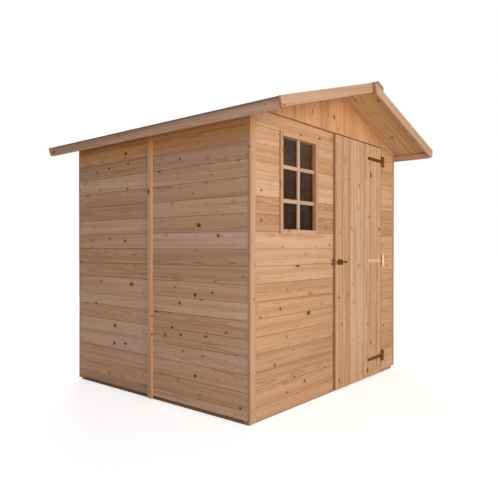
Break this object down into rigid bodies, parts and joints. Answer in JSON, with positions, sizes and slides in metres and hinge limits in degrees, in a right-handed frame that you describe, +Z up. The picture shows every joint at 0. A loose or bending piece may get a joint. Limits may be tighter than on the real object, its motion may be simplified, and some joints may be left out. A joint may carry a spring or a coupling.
{
  "type": "wooden garden shed",
  "caption": "Small timber garden shed with a ridged roof, a board door on strap hinges with a sliding bolt, and a small-paned window.",
  "frame": {"origin": "centre of the roof's footprint on the ground", "axes": "+X along the front to the right, -Y out of the front with the door and window, +Z up"},
  "size_m": [2.136, 2.399, 2.2115],
  "materials": {
    "wall_boards": "planed spruce boards, lightly oiled",
    "door_boards": "planed spruce boards, lightly oiled",
    "roof_boards": "planed spruce boards",
    "trim_wood": "planed spruce, lightly oiled",
    "inner_wood": "sawn spruce",
    "base_wood": "dark treated timber",
    "bronze": "dark bronze lacquer",
    "brass": "bright yellow plated steel",
    "glass": "plain clear pane, dark from the unlit room behind"
  },
  "bodies": {
    "root": {"floor_bearers": "base_wood", "base_rails": "trim_wood", "floor_deck": "inner_wood", "left_wall_front": "wall_boards", "left_wall_back": "wall_boards", "right_wall_front": "wall_boards", "right_wall_back": "wall_boards", "back_wall_left": "wall_boards", "back_wall_right": "wall_boards", "front_left_panel": "wall_boards", "front_right_panel": "wall_boards", "front_gable": "wall_boards", "back_gable": "wall_boards", "front_left_strip": "trim_wood", "front_right_strip": "trim_wood", "back_left_strip": "trim_wood", "back_right_strip": "trim_wood", "left_batten": "trim_wood", "right_batten": "trim_wood", "back_batten": "trim_wood", "wall_studs": "inner_wood", "top_plates": "inner_wood", "door_posts": "inner_wood", "door_lintel": "inner_wood", "window_frame": "trim_wood", "window_glass": "glass", "left_roof_panel": "roof_boards", "right_roof_panel": "roof_boards", "eave_boards": "trim_wood", "front_barges": "trim_wood", "back_barges": "trim_wood", "ridge_batten": "trim_wood", "ridge_beam": "inner_wood", "purlins": "inner_wood", "hinge_plates": "bronze", "middle_hinge_plate": "brass", "bolt_keeper": "bronze"},
    "door": {"door_leaf": "door_boards", "door_ledges": "inner_wood", "door_braces": "inner_wood", "hinge_straps": "bronze", "middle_hinge_strap": "brass", "bolt_plate": "bronze"},
    "bolt": {"bolt_rod": "bronze"}
  },
  "joints": [
    {"name": "door_swing", "type": "hinge", "parent": "root", "child": "door", "pos_m": [0.7255, -0.8975, 0.945], "axis": [0, 0, 1], "range_deg": [0, 100]},
    {"name": "bolt_slide", "type": "slide", "parent": "door", "child": "bolt", "axis": [-1, 0, 0], "range_m": [0, 0.034]}
  ]
}
